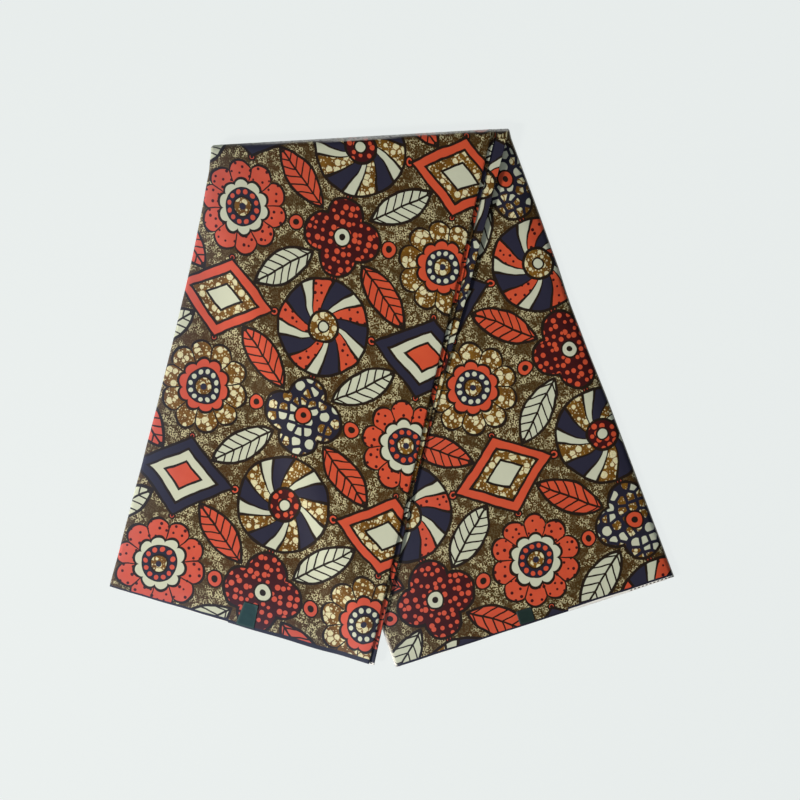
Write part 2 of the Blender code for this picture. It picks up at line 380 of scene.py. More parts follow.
def paintLozenge(g, x, y, odd, below, fills):
    sizes = printSizes["lozenge"]
    wide, high = sizes["half"]
    edge = (abs(x) * high + abs(y) * wide - wide * high) / math.hypot(wide, high)
    outer = g.mix(odd, fills["coral"], inks["navy"])
    middle = g.mix(odd, fills["bubbles"], inks["cream"])
    inner = g.mix(odd, inks["cream"], fills["coral"])
    colours = outer, dark, middle, dark, inner
    return layers(g, below, edge, *zip(sizes["bands"], colours))


def paintKnot(g, x, y, odd, below, fills):
    # four discs round a centre
    sizes = printSizes["knot"]
    ax, ay = abs(x), abs(y)
    nearest = g.math("MINIMUM", g.length(ax - sizes["reach"], ay), g.length(ax, ay - sizes["reach"]))
    discs = g.mix(odd, fills["pebbles"], fills["spots"])
    colour = layers(g, below, nearest - sizes["radius"], (line, discs))
    return layers(g, colour, g.length(x, y) - sizes["heart"],
                  (0.0022, g.mix(odd, fills["coral"], inks["cream"])), (0.0075, dark))


def paintLeaf(g, x, y, below, fills):
    # one leaf in each quarter of the repeat, coral and cream by turns
    sizes = printSizes["leaf"]
    ax, ay = abs(x) - sizes["at"][0], abs(y) - sizes["at"][1]
    turn = math.radians(sizes["turn"])
    side = ax * math.cos(turn) + ay * math.sin(turn)
    length = ay * math.cos(turn) - ax * math.sin(turn)
    wide, long = sizes["half"]
    bow = (long * long + wide * wide) / (2 * wide)
    edge = g.length(abs(side) + (bow - wide), length) - bow
    body = g.mix(g.inside(x * y * -1.0, 0.00001), inks["cream"], fills["coral"])
    veins = g.wrap(length - abs(side) * 0.9, sizes["vein"])
    vein = g.math("MAXIMUM", g.inside(abs(veins) - 0.0012), g.inside(abs(side) - 0.0012))
    return layers(g, below, edge, (line, g.mix(vein, body, dark)))


def paintBerries(g, x, y, below, fills):
    ax, ay = abs(x), abs(y)
    for atX, atY, radius in printSizes["berry"]:
        below = layers(g, below, g.length(ax - atX, ay - atY) - radius,
                       (0.002, fills["coral"]), (radius * 0.62, dark))
    return below


def paintMotifs(g, u, v, wander):
    # the motifs on their lattice, drawn with lines that wander a little
    wobble, (wide, high), (startU, startV) = (printSizes[name] for name in ("wobble", "repeat", "shift"))
    across = (u + (wander[0] - 0.5) * (wobble * 4) - startU) / wide
    up = (v + (wander[1] - 0.5) * (wobble * 4) - startV) / high

    def cell(stepX, stepY):
        # a place in its cell of the repeat, and 0 or 1 for every other cell
        column, row = g.math("ROUND", across + stepX), g.math("ROUND", up + stepY)
        odd = g.math("FLOORED_MODULO", column + row + 0.25, 2.0)
        return (across + stepX - column) * wide, (up + stepY - row) * high, g.inside(1.0 - odd, 0.1)

    x, y, odd = cell(0.0, 0.0)
    fills = fillings(g, u, v)
    colour = paintBerries(g, x, y, fills["ground"], fills)
    colour = paintLeaf(g, x, y, colour, fills)
    colour = paintFlower(g, x, y, odd, colour, fills)
    colour = paintWhirl(g, *cell(0.5, 0.5), colour, fills)
    colour = paintLozenge(g, *cell(0.0, 0.5), colour, fills)
    return paintKnot(g, *cell(0.5, 0.0), colour, fills)


def paintSelvedge(g, u, wander, colour, paleSelvedge):
    # a navy border, then a bare woven edge with small ticks, which the top layer shows in one stretch
    selvedge = g.attribute("selvedge")
    narrow, grow = printSizes["border"]
    border = g.math("MAXIMUM", narrow, u * grow + narrow) + (wander[2] - 0.5) * 0.002
    starts = printSizes["bareFrom"]
    bareFrom, ticksFrom = (1.0 if paleSelvedge else g.inside(u - start, 0.001) for start in starts)
    bare = g.math("MULTIPLY", bareFrom, printSizes["paleEdge"])
    colour = g.mix(g.inside(selvedge - bare - border), colour, inks["navyDeep"])
    colour = g.mix(g.inside(selvedge - bare), colour, inks["selvedge"])
    tick = g.inside(abs(g.wrap(u, printSizes["tick"])) - 0.0012)
    tick = tick * g.inside(abs(selvedge - bare * 0.5) - bare * 0.24)
    return g.mix(tick * g.inside(0.001 - bare) * ticksFrom, colour, dark)


def makeCotton(name, paleSelvedge):
    # printed cotton: the print runs with the cloth, on the UV map that unrolls it
    gloss = {"Specular IOR Level": 0.12, "Sheen Weight": 0.02, "Sheen Roughness": 0.5}
    material, g = newMaterial(name, gloss)
    unrolled = g.get("ShaderNodeUVMap", {"uv_map": "print"})
    u, v = g.split(unrolled)[:2]
    wander = g.split(g.noise(unrolled, fillScales["wobble"], 3.0, output="Color"), "Color")
    colour = paintMotifs(g, u, v, wander)
    colour = paintSelvedge(g, u, wander, colour, paleSelvedge)

    # loose threads along raw edges, dye rubbed off the folds with painted highlight on them, and painted
    # sheen
    fray = g.noise(g.vector(u * 0.3, v), weave["fray"], 2.0)
    loose = g.inside(g.attribute("rawEdge") - 0.0002 - fray * 0.0008, 0.0007)
    colour = g.mix(loose * 0.8, colour, inks["thread"])
    streaks = g.math("MULTIPLY_ADD", fray, 2.4, -0.25, clamp=True)
    # rubbed dye and painted highlight: paler along the crest of the fold over the middle and the back leg's
    # left fold
    colour = g.mix(g.attribute("worn") * streaks, colour, inks["rubAndHighlight"])
    # painted sheen: a pale blue veil of reflected light by the left fold and the first cut end
    strength, reach = printSizes["paintedSheen"]
    g.feed("Base Color", g.mix(nearEdge(g, u, v, reach) * strength, colour, inks["paintedSheen"]))

    # the weave, its slubs and the fine crumple of pressed cotton
    threads = g.math("SINE", u * weave["threads"]) * g.math("SINE", v * weave["threads"])
    slubs = g.noise(g.vector(u * 0.12, v), weave["slubs"], 1.0)
    crumple = g.noise(unrolled, weave["crumple"], 4.0, Roughness=0.55)
    threadHeight, slubHeight, crumpleHeight = weave["heights"]
    g.feedBump(threads * threadHeight + slubs * slubHeight + crumple * crumpleHeight, weave["bump"])
    g.feed("Roughness", g.math("MULTIPLY_ADD", slubs, 0.16, 0.5))
    return material


def makeCloud(g, scale, strength):
    # a fine cloud through the piece, which also gives its bumps
    cloud = g.noise(g.get("ShaderNodeTexCoord", None, None, "Object"), scale, 2.0, flat=False)
    g.feedBump(cloud * 0.0002, strength)
    return cloud


def makeThreadEdge():
    # the cut or woven rim of a layer
    material, g = newMaterial("threadEdge", {"Roughness": 0.85})
    g.feed("Base Color", g.mix(makeCloud(g, 1400.0, 0.5), inks["groundBrown"], inks["thread"]))
    return material


# How the cloth is folded, close to the solids. An edge is its start along the crown, its lean from
# straight down in degrees (+ to the right), and its length.
band = {
    "layers": 16,
    "pitch": 0.0005,  # one layer and the air under it
    "clearance": 0.0003,
    "crownLeft": (-0.2099, 0.2926),
    "crownTilt": 3.28,
    "frontLeft": (0.0, -13.07, 0.5249),
    "frontRight": (0.3267, -13.02, 0.636),
    "backLeft": (0.0, 19.46, 0.6421),
    "backRight": (0.346, 20.35, 0.5545),
    "drapeStart": 0.01,  # how far beside the back leg the front leg starts to come down
    "drapeReach": 0.055,
    "droop": 0.2,  # the slope of the edge that no folds carry
    "droopStart": 0.0003,
    "crownDroop": (0.09, 0.14, 0.13),  # how much more, from what y, and over what length
    "air": 0.0026,  # half the height of the air in the fold over the middle
    "airReach": 0.55,  # the share of the front leg over which that closes
}

# How far the edges stray inwards from straight lines: (place along the band, metres).
strays = {
    "left": [(0.0, -0.0010), (0.1, 0.0006), (0.2, 0.0020), (0.3, 0.0036), (0.45, 0.0054), (0.6, 0.0064),
             (0.72, 0.0068), (0.85, 0.0060), (0.95, 0.0044), (1.0, 0.0016), (1.4, 0.0), (3.0, 0.0)],
    "right": [(0.0, 0.0), (2.15, 0.0), (2.28, 0.0008), (2.38, 0.0028), (2.46, 0.0024), (2.62, 0.0006),
              (3.0, 0.0)],
}

# How far each stack of folds on the right reaches past the leg's edge, at places along the band.
steps = [  # place, leaf, nest, ends
    (0.00, 0.0, 0.0060, 0.0064),
    (0.10, 0.0, 0.0054, 0.0058),
    (0.20, 0.0, 0.0066, 0.0070),
    (0.34, 0.0, 0.0046, 0.0050),
    (0.42, 0.0, 0.0056, 0.0072),
    (0.55, 0.0, 0.0052, 0.0104),
    (0.70, 0.0, 0.0055, 0.0150),
    (0.85, 0.0, 0.0050, 0.0172),
    (1.00, 0.0, 0.0050, 0.0193),
    (2.00, -0.0193, -0.0143, 0.0),
    (3.00, -0.0110, -0.0060, 0.0),
]

# Creases pressed or rubbed into a leg's upper side: leg, from, to, height and half width.
creases = [
    ("front", (-0.091, 0.262), (-0.092, 0.112), -0.00045, 0.0045),
    ("front", (-0.172, 0.282), (-0.196, 0.196), 0.00060, 0.0100),
    ("front", (-0.148, 0.236), (-0.156, 0.170), -0.00050, 0.0090),
    ("front", (0.020, 0.222), (0.046, 0.120), 0.00035, 0.0070),
    ("front", (-0.214, 0.062), (-0.158, 0.018), -0.00040, 0.0075),
    ("front", (-0.052, -0.022), (0.012, -0.048), 0.00035, 0.0060),
    ("front", (-0.232, -0.118), (-0.150, -0.142), 0.00040, 0.0085),
    ("front", (-0.118, -0.206), (-0.060, -0.262), -0.00035, 0.0065),
    ("front", (-0.020, -0.176), (-0.046, -0.268), 0.00030, 0.0060),
    ("back", (0.126, 0.128), (0.137, 0.082), -0.00050, 0.0045),
    ("back", (0.204, 0.118), (0.232, 0.046), 0.00040, 0.0075),
    ("back", (0.092, 0.020), (0.150, -0.012), -0.00030, 0.0060),
    ("back", (0.168, -0.084), (0.262, -0.112), 0.00035, 0.0080),
    ("back", (0.060, -0.196), (0.118, -0.224), -0.00035, 0.0065),
    ("back", (0.262, -0.070), (0.290, -0.160), -0.00040, 0.0055),
]

# Dye rubbed off, and painted highlight on, the crest of the fold over the middle and the back leg's left
# fold
# by its end: where it starts and over what length it fades in, in places along the band and metres across
# it.
wearAndHighlight = {
    "crestFrom": (1.2, 0.09),
    "crestTo": (1.62, 0.12),
    "leftEnd": (0.01, 0.1),
    "wider": (0.05, 0.12, 0.23, 0.04),  # how much sooner it starts between two places across, and their fade
    "fold": (0.6, 2.86, 0.08, 0.0036, 0.003),  # its strength, from along the band, and to across it
    "patchy": 0.3,
}

# Waves in the upper sides, and how far past the front leg those of the back leg fade in.
unevenness = {"broad": 0.00055, "broadSize": 0.085, "fine": 0.00016, "fineSize": 0.022, "fade": 0.03}

stack = band["layers"] * band["pitch"]
gap = band["clearance"]
nose = stack / 2  # radius of the fold down the left edge
lip = stack / 4  # radius of the fold down the right edge of the upper stack
crownLeft = Vector(band["crownLeft"])
tilt = math.radians(band["crownTilt"])
crownAxis = Vector((math.cos(tilt), math.sin(tilt)))
crownOut = Vector((-crownAxis.y, crownAxis.x))


def clamp(x):
    return min(1.0, max(0.0, x))


def smooth(x):
    return clamp(x) ** 2 * (3 - 2 * clamp(x))


def blend(first, last, share):
    return first + (last - first) * share


def halfTurn(first, steps, sweep=180):
    # the share of a fold passed, and the direction there, from an angle in degrees
    angles = [math.radians(first - sweep * i / steps) for i in range(steps + 1)]
    return [(i / steps, math.cos(angle), math.sin(angle)) for i, angle in enumerate(angles)]


def leanDirection(edge):
    lean = math.radians(edge[1])
    return Vector((math.sin(lean), -math.cos(lean)))


def crownPoint(edge):
    direction = leanDirection(edge)
    return crownLeft + crownAxis * edge[0] + direction * ((stack + gap) / direction.dot(-crownOut))


def cutPoint(edge):
    return crownLeft + crownAxis * edge[0] + leanDirection(edge) * edge[2]


frontTop, frontEnd, backTop, backEnd = [
    (point(band[leg + "Left"]), point(band[leg + "Right"]))
    for leg in ("front", "back") for point in (crownPoint, cutPoint)
]
spans = (frontEnd, frontTop), (frontTop, backTop), (backTop, backEnd)
frontLengths = [(top - end).length for top, end in zip(frontTop, frontEnd)]
backLengths = [(top - end).length for top, end in zip(backTop, backEnd)]


def crossLine(path):
    # the band's left and right points: 0 to 1 up the front leg, 1 to 2 round the crown, 2 to 3 down the back
    span = min(2, int(path))
    return [a.lerp(b, path - span) for a, b in zip(*spans[span])]


def reachOf(path):
    left, right = crossLine(path)
    for low, high in zip(steps, steps[1:]):
        if path <= high[0]:
            break
    share = (path - low[0]) / (high[0] - low[0])
    past = [(right - left).length + blend(*pair, share) for pair in zip(low[1:], high[1:])]
    return dict(zip(("leaf", "nest", "ends"), past))


def stray(side, path):
    for (low, first), (high, last) in zip(strays[side], strays[side][1:]):
        if path <= high:
            return blend(first, last, smooth((path - low) / (high - low)))
    return last


def carriedEdge(path):
    left, right = crossLine(path)
    return left + (right - left).normalized() * (reachOf(path)["leaf"] - lip)


def rightOf(point, edge):
    # how far a plan point lies to the right of an edge that runs downwards
    along = (edge[1] - edge[0]).normalized()
    return (point - edge[0]).dot(Vector((-along.y, along.x)))


carriedLine = carriedEdge(2.0), carriedEdge(3.0)
backEdgeLine = backTop[0], backEnd[0]
frontEdgeLine = frontTop[1], frontEnd[1]


def droopAt(plan):
    # the back leg's right edge, which no folds carry, hangs down, more so near the middle of the band
    more, start, length = band["crownDroop"]
    slope = band["droop"] + more * smooth((plan.y - start) / length)
    return slope * max(0.0, rightOf(plan, carriedLine) - band["droopStart"])


def creaseHeight(plan, start, end, height, width):
    start, end = Vector(start), Vector(end)
    along = end - start
    share = (plan - start).dot(along) / along.length_squared
    if not -0.2 < share < 1.2:
        return 0.0
    bend = 0.0035 * math.sin(share * 5.1 + start.x * 40)  # no crease is quite straight
    away = abs((plan - start).dot(Vector((-along.y, along.x)).normalized()) - bend)
    if away > 3 * width:
        return 0.0
    taper = smooth((share + 0.2) / 0.5) * smooth((1.2 - share) / 0.5)
    return height * taper * math.exp(-((away / width) ** 2))


def ripple(leg, plan):
    # how far a leg's upper side lies above its even height
    side = 0.0 if leg == "front" else 7.0
    broad, fine = unevenness["broadSize"], unevenness["fineSize"]
    height = noise.noise(Vector((plan.x / broad, plan.y / broad, side))) * unevenness["broad"]
    height += noise.noise(Vector((plan.x / fine, plan.y / fine, side + 3.0))) * unevenness["fine"]
    for on, *crease in creases:
        if on == leg:
            height += creaseHeight(plan, *crease)
    if leg == "back":  # even where the front leg lies on it
        height *= smooth((rightOf(plan, frontEdgeLine) - 0.02) / unevenness["fade"])
    return height


def dropAt(x, radius):
    # how far a stack's rounded edge lies below its top, x past the start of the round
    if x < radius:
        return radius - math.sqrt(radius * radius - max(0.0, x) ** 2)
    return min(2 * radius, radius + (x - radius) * 8)


def springAt(path, across):
    # how far the fold over the middle stands out, so that all the stacks reach the same line
    reach = reachOf(path)
    spring = dropAt(across - reach["leaf"] + lip, lip) + dropAt(across - reach["nest"] + lip / 2, lip / 2)
    return spring + band["air"]


def airUnder(path):
    # the air between the legs, from the fold over the middle down the front leg
    return 2 * band["air"] * smooth((path - 1 + band["airReach"]) / band["airReach"])


def drapeAt(plan):
    # beside the back leg, the front leg comes down to the floor
    outside = -rightOf(plan, backEdgeLine)
    return (stack + 2 * gap) * smooth((outside - band["drapeStart"]) / band["drapeReach"])


def place(path, across, level):
    # across is metres from the left fold, level metres of cloth from the inside of the crown
    turn = math.pi * clamp(path - 1.0)
    left, right = crossLine(path)
    share = clamp(across / (right - left).length)
    across += stray("left", path) * (1 - share) ** 2 - stray("right", path) * share ** 2
    plan = left + (right - left).normalized() * across
    if 1 < path < 2:
        plan += crownOut * ((level + springAt(path, across)) * math.sin(turn))
    frontShare = (1 + math.cos(turn)) / 2
    height = stack + gap + level * math.cos(turn)
    height += frontShare * (airUnder(path) - drapeAt(plan)) - (1 - frontShare) * droopAt(plan)
    depth = clamp((level - gap) / stack)
    if frontShare > 0:
        height += ripple("front", plan) * frontShare * depth
    if frontShare < 1:
        height += ripple("back", plan) * (1 - frontShare) * (1 - depth)
    return Vector((plan.x, plan.y, height))


def along(path, across, level):
    # metres of print along the band from the front leg's cut end
    left, right = crossLine(path)
    share = across / (right - left).length
    distance = min(1.0, path) * blend(*frontLengths, share)
    distance += clamp(path - 1.0) * math.pi * (level + band["air"])
    return distance + max(0.0, path - 2.0) * blend(*backLengths, share)


# A point of cloth: its place, where it is on the unrolled print, its distances from the cut ends and
# from the raw edge, how pale it is from rubbed dye and painted highlight, and the ways in which nested
# layers move it.
Spot = namedtuple("Spot", "at unrolled selvedge rawEdge worn outward endward")


# how pale the cloth is painted at a place: rubbed dye, and painted highlight on the folds
def wornAndLitAt(path, across):
    sooner, left, right, fade = wearAndHighlight["wider"]
    start = wearAndHighlight["crestFrom"][0] - sooner * smooth((across - left) / fade) * smooth((right - across) / fade)
    worn = smooth((across - wearAndHighlight["leftEnd"][0]) / wearAndHighlight["leftEnd"][1])
    worn *= smooth((path - start) / wearAndHighlight["crestFrom"][1])
    worn *= smooth((wearAndHighlight["crestTo"][0] - path) / wearAndHighlight["crestTo"][1])
    strength, after, length, edge, width = wearAndHighlight["fold"]
    worn = max(worn, strength * smooth((path - after) / length) * smooth((edge - across) / width))
    return worn * (1.05 - across + wearAndHighlight["patchy"] * noise.noise(Vector((across * 34, path * 5, 9.0))))


def makeSpot(path, across, level, run, rawEdge=1.0, facing=None):
    end, lengths = (0.0, frontLengths) if path < 1.5 else (3.0, backLengths)
    selvedge, nearEnd = abs(path - end) * sum(lengths) / 2, leafSizes["nearEnd"]
    outward, endward = Vector(), Vector()
    if facing is not None:
        near, far = (place(path, across + facing[0] * step, level + facing[1] * step)
                     for step in (-0.0004, 0.0004))
        outward = (far - near) / 0.0008
    if selvedge < nearEnd:
        inner = place(abs(end - 0.02), across, level)
        endward = (place(end, across, level) - inner).normalized() * (1 - selvedge / nearEnd)
    unrolled, worn = (run, along(path, across, level)), wornAndLitAt(path, across)
    return Spot(place(path, across, level), unrolled, selvedge, rawEdge, worn, outward, endward)


def makePiece(name, rows, materials, closed=False):
    # four-sided faces between rows of spots
    count = len(rows[0])
    spots = [spot for row in rows for spot in row]
    faces = []
    for row in range(len(rows) - 1):
        for i in range(count if closed else count - 1):
            a, b = row * count + i, row * count + (i + 1) % count
            faces.append((a, b, b + count, a + count))
    if closed:
        faces += [tuple(reversed(range(count))), tuple(range(len(spots) - count, len(spots)))]
    mesh = bpy.data.meshes.new(name)
    mesh.from_pydata([spot.at for spot in spots], [], faces)
    corners = [0] * len(mesh.loops)
    mesh.loops.foreach_get("vertex_index", corners)
    unrolled = mesh.uv_layers.new(name="print")
    unrolled.data.foreach_set("uv", [value for i in corners for value in spots[i].unrolled])
    for field in ("selvedge", "rawEdge", "worn"):
        layer = mesh.attributes.new(field, "FLOAT", "POINT")
        layer.data.foreach_set("value", [getattr(spot, field) for spot in spots])
    for field in ("outward", "endward"):
        layer = mesh.attributes.new(field, "FLOAT_VECTOR", "POINT")
        layer.data.foreach_set("vector", [value for spot in spots for value in getattr(spot, field)])
    for material in materials:
        mesh.materials.append(material)
    mesh.shade_smooth()
    return putIn(name, mesh)


def settle(piece):
    # a plain mesh with its modifiers taken in
    bpy.context.view_layer.update()
    graph = bpy.context.evaluated_depsgraph_get()
    mesh = bpy.data.meshes.new_from_object(
        piece.evaluated_get(graph), preserve_all_data_layers=True, depsgraph=graph)
    piece.modifiers.clear()
    old, piece.data = piece.data, mesh
    bpy.data.meshes.remove(old)
    return piece


def thicken(piece, thickness, offset, rim):
    wall = piece.modifiers.new("thickness", "SOLIDIFY")
    wall.thickness, wall.offset, wall.material_offset_rim = thickness, offset, rim
    return settle(piece)


def join(name, pieces):
    first = pieces[0]
    with bpy.context.temp_override(object=first, active_object=first, selected_objects=pieces,
                                   selected_editable_objects=pieces):
        bpy.ops.object.join()
    first.name = first.data.name = name
    return first


# The outer leaf.
leafSizes = {
    "thickness": 0.00045,
    "cell": 0.005,
    "crownRows": 14,
    "noseSteps": 12,
    "lipSteps": 10,
    "tuck": 0.012,  # how far the right fold runs back underneath
    "endRows": (0.0, 0.0012, 0.003, 0.006, 0.01),
    "nearEnd": 0.012,  # how far in from the cut ends the cloth wanders
    "cutWander": 0.0005,
    "frontStep": {  # in the first cut end
        "at": 0.1435, "out": 0.001, "width": 0.001, "last": 0.285, "fade": 0.03, "columns": (28, 29),
    },
    "cut": (0.69, 1.168),  # the flat size of what shows, all round
}


def legPaths(length, cell):
    # places up a leg from its cut end, with close rows there
    ends = [distance / length for distance in leafSizes["endRows"]]
    rest = round((1 - ends[-1]) * length / cell)
    return ends + [blend(ends[-1], 1, i / rest) for i in range(1, rest)]


def rowPaths(cell, first=0.0, last=3.0):
    # places along the band, with close rows round the crown
    paths = legPaths(frontLengths[0], cell)
    paths += [1 + i / leafSizes["crownRows"] for i in range(leafSizes["crownRows"] + 1)]
    paths += [3 - path for path in reversed(legPaths(backLengths[0], cell))]
    return [path for path in paths if first <= path <= last]


def leafSection(path):
    # (across, level, run, distance from the raw edge) from the hidden side, round the left fold, to the tuck
    reach = reachOf(path)
    low, high = gap, gap + stack
    halfArc = math.pi * nose / 2
    points = []
    for i in range(hiddenColumns + 1):
        share = i / hiddenColumns
        across = blend(reach["ends"], nose, share + 0.012 * math.sin(math.pi * share))
        points.append((across, low, -halfArc - (across - nose), reach["ends"] - across))
    for share, x, y in halfTurn(270, leafSizes["noseSteps"])[1:-1]:
        points.append((nose + nose * x, low + nose + nose * y, halfArc * (2 * share - 1), 1.0))
    step = leafSizes["frontStep"]
    for i in range(leafColumns + 1):
        across = blend(nose, reach["leaf"] - lip, i / leafColumns)
        if path < 0.5 and i in step["columns"]:  # two close columns where the cut end steps
            across = step["at"] + (i - sum(step["columns"]) / 2) * step["width"]
        points.append((across, high, halfArc + across - nose, 1.0))
    centre = reach["leaf"] - lip
    run = halfArc + centre - nose
    for share, x, y in halfTurn(90, leafSizes["lipSteps"])[1:]:
        points.append((centre + lip * x, high - lip + lip * y, run + math.pi * lip * share, 1.0))
    run += math.pi * lip
    for i in range(1, 4):
        inward = leafSizes["tuck"] * i / 3
        points.append((centre - inward, high - 2 * lip, run + inward, 1.0))
    return points


leafColumns = round((reachOf(0.5)["leaf"] - lip - nose) / leafSizes["cell"])
hiddenColumns = round((reachOf(0.5)["ends"] - nose) / leafSizes["cell"])


def makeCoverLeaf(materials):
    rows, step = [], leafSizes["frontStep"]
    for path in rowPaths(leafSizes["cell"]):
        row = []
        for across, level, run, rawEdge in leafSection(path):
            wander = noise.noise(Vector((run * 26, path * 0.01, 5.0))) * leafSizes["cutWander"]
            if path < 0.5 and level > nose:
                rise = smooth((across - step["at"]) / step["width"] + 0.5)
                wander += step["out"] * rise * smooth((step["last"] - across) / step["fade"])
            spot = makeSpot(path, across, level, run, rawEdge)
            row.append(spot._replace(at=spot.at + spot.endward * wander))
        rows.append(row)
    return thicken(makePiece("coverLeaf", rows, materials), leafSizes["thickness"], -1.0, 1)


# The layers between.
layerSizes = {
    "thickness": 0.00034,
    "depth": {"leaf": 0.014, "nest": 0.016, "ends": 0.026},  # how far each stack's folds run in
    "endDepth": 0.0105,  # how far in from the cut ends the layers are separate
    "bendSteps": 8,
    "stagger": 0.0007,  # how unevenly the layers end
    "closeCell": 0.0012,  # between columns that bend with the fold over the middle
    "wideCell": 0.006,
    "turnColumns": 60,
    "turnGap": 0.0004,  # between these strips and the stacks of folds
    "rawInset": 0.0006,  # short of the folds on the front leg, past them on the back leg
    "coreCell": 0.014,
    "coreColumns": 22,
    "coreInset": 0.0005,  # between the core and the strips round it
    "coreGap": 0.0007,  # between the core and the left fold
    "coreTop": 0.0077,
    "coreBottom": 0.0009,
    "seed": 11,
    "printShift": 0.311,  # from one layer to the next
    # where each strip lies on the unrolled print
    "runs": {"nest": 1.28, "pair": 2.443, "raw": 3.02, "inner": 1.9, "outer": 2.6, "folds": 0.8},
}


def nestedLeaves(cotton):
    # copies of one strip of cloth, each a layer further out than the last, with uneven ends
    tree = bpy.data.node_groups.new("nestedLeaves", "GeometryNodeTree")
    face = tree.interface
    face.new_socket("Geometry", in_out="OUTPUT", socket_type="NodeSocketGeometry")
    inputs = {"Geometry": "Geometry", "Leaves": "Int", "Inner Radius": "Float", "Pitch": "Float",
              "Stagger": "Float", "Print Shift": "Float", "Seed": "Int"}
    for name, kind in inputs.items():
        face.new_socket(name, in_out="INPUT", socket_type="NodeSocket" + kind)
    g = Graph(tree)
    given = g.node("NodeGroupInput")
    want = {socket.name: Socket(g, socket) for socket in given.outputs if socket.name}
    points = g.get("GeometryNodeMeshLine", None, {"Count": want["Leaves"], "Offset": (0.0, 0.0, 0.0)})
    copies = g.get("GeometryNodeInstanceOnPoints", None, {"Points": points, "Instance": want["Geometry"]})
    marked = g.get("GeometryNodeStoreNamedAttribute", {"data_type": "FLOAT", "domain": "INSTANCE"},
                   {"Geometry": copies, "Name": "leafNumber", "Value": g.get("GeometryNodeInputIndex")})
    joined = g.get("GeometryNodeRealizeInstances", None, {"Geometry": marked})

    def named(name, kind="FLOAT_VECTOR"):
        return g.get("GeometryNodeInputNamedAttribute", {"data_type": kind}, {"Name": name})

    def scaled(vector, size):
        return g.get("ShaderNodeVectorMath", {"operation": "SCALE"}, {0: vector, "Scale": size})

    number = named("leafNumber", "FLOAT")
    chance = g.get("FunctionNodeRandomValue", {"data_type": "FLOAT"},
                   {2: -1.0, 3: 0.6, "ID": number, "Seed": want["Seed"]}, 1)
    sockets = {"Vector": g.get("GeometryNodeInputPosition"), "W": number * 3.7 + chance, "Scale": 24.0}
    waver = g.get("ShaderNodeTexNoise", {"noise_dimensions": "4D"}, {**sockets, "Detail": 1.0})
    spread = scaled(named("outward"), want["Inner Radius"] + number * want["Pitch"])
    slip = scaled(named("endward"), (chance + (waver - 0.5) * 1.6) * want["Stagger"])
    offset = g.vectorMath("ADD", spread, slip)
    moved = g.get("GeometryNodeSetPosition", None, {"Geometry": joined, "Offset": offset})
    shift = g.vectorMath("ADD", named("print"), g.vector(number * want["Print Shift"], 0.0))
    printed = g.get("GeometryNodeStoreNamedAttribute", {"data_type": "FLOAT2", "domain": "CORNER"},
                    {"Geometry": moved, "Name": "print", "Value": shift})
    dressed = g.get("GeometryNodeSetMaterial", None, {"Geometry": printed, "Material": cotton})
    g.node("NodeGroupOutput", None, {0: dressed})
    return tree


def stackLeaves(tree, name, rows, leaves, innerRadius, seed, materials):
    piece = makePiece(name, rows, materials)
    nodes = piece.modifiers.new("leaves", "NODES")
    nodes.node_group = tree
    values = {"Leaves": leaves, "Inner Radius": innerRadius, "Pitch": band["pitch"],
              "Stagger": layerSizes["stagger"], "Print Shift": layerSizes["printShift"], "Seed": seed}
    for item in tree.interface.items_tree:
        if item.in_out == "INPUT" and item.name in values:
            nodes[item.identifier] = values[item.name]
    settle(piece)
    piece.data.materials.clear()
    for material in materials:
        piece.data.materials.append(material)
    return thicken(piece, layerSizes["thickness"], 0.0, 1)


def bentRow(path, level, side, places, runs, columns):
    # a strip that runs out to a fold, on the right (side 1) or the left (-1), round it, and back
    row = [makeSpot(path, blend(*places[:2], i / columns[0]), level, blend(*runs[0], i / columns[0]),
                    facing=(0, side)) for i in range(columns[0])]
    row += [makeSpot(path, places[1], level, blend(*runs[1], share), facing=facing)
            for share, *facing in halfTurn(180 - 90 * side, layerSizes["bendSteps"])]
    return row + [makeSpot(path, blend(*places[1:], i / columns[1]), level, blend(*runs[2], i / columns[1]),
                           facing=(0, -side)) for i in range(1, columns[1] + 1)]


def foldRows(paths, stackName, layerTop, leaves, run):
    # strips folded over at the right edge
    half = leaves * band["pitch"] / 2
    level = gap + stack - layerTop * band["pitch"] - half
    depth, after = layerSizes["depth"][stackName], run + math.pi * half
    columns = round(depth / layerSizes["closeCell"]), max(2, round(depth / layerSizes["wideCell"]))
    runs = (run - depth, run), (run, after), (after, after + depth)
    centres = [reachOf(path)[stackName] - half for path in paths]
    return [bentRow(path, level, 1, (centre - depth, centre, centre - depth), runs, columns)
            for path, centre in zip(paths, centres)]


def rawRows(paths, layer, run):
    # a single layer that ends raw at the right edge
    level = gap + stack - (layer - 0.5) * band["pitch"]
    depth = layerSizes["depth"]["ends"]
    rows = []
    for path in paths:
        edge = reachOf(path)["ends"] + layerSizes["rawInset"] * (1 if path > 1.5 else -1)
        inwards = [depth * (1 - i / 5) for i in range(5)] + [layerSizes["closeCell"], 0.0]
        rows.append([makeSpot(path, edge - inward, level, run - inward, rawEdge=inward, facing=(0, 1))
                     for inward in inwards])
    return rows


def turnRows(paths, top, bottom, run):
    # strips at a cut end that run from one stack, left, round the left fold, and back to another
    columns, rows = [layerSizes["turnColumns"]] * 2, []
    for path in paths:
        reach = reachOf(path)
        start, stop = (reach[name] - layerSizes["depth"][name] - layerSizes["turnGap"]
                       for name in (bottom, top))
        runs = (run - start, run - nose), (run, run), (run + nose, run + stop)
        rows.append(bentRow(path, gap + nose, -1, (start, nose, stop), runs, columns))
    return rows


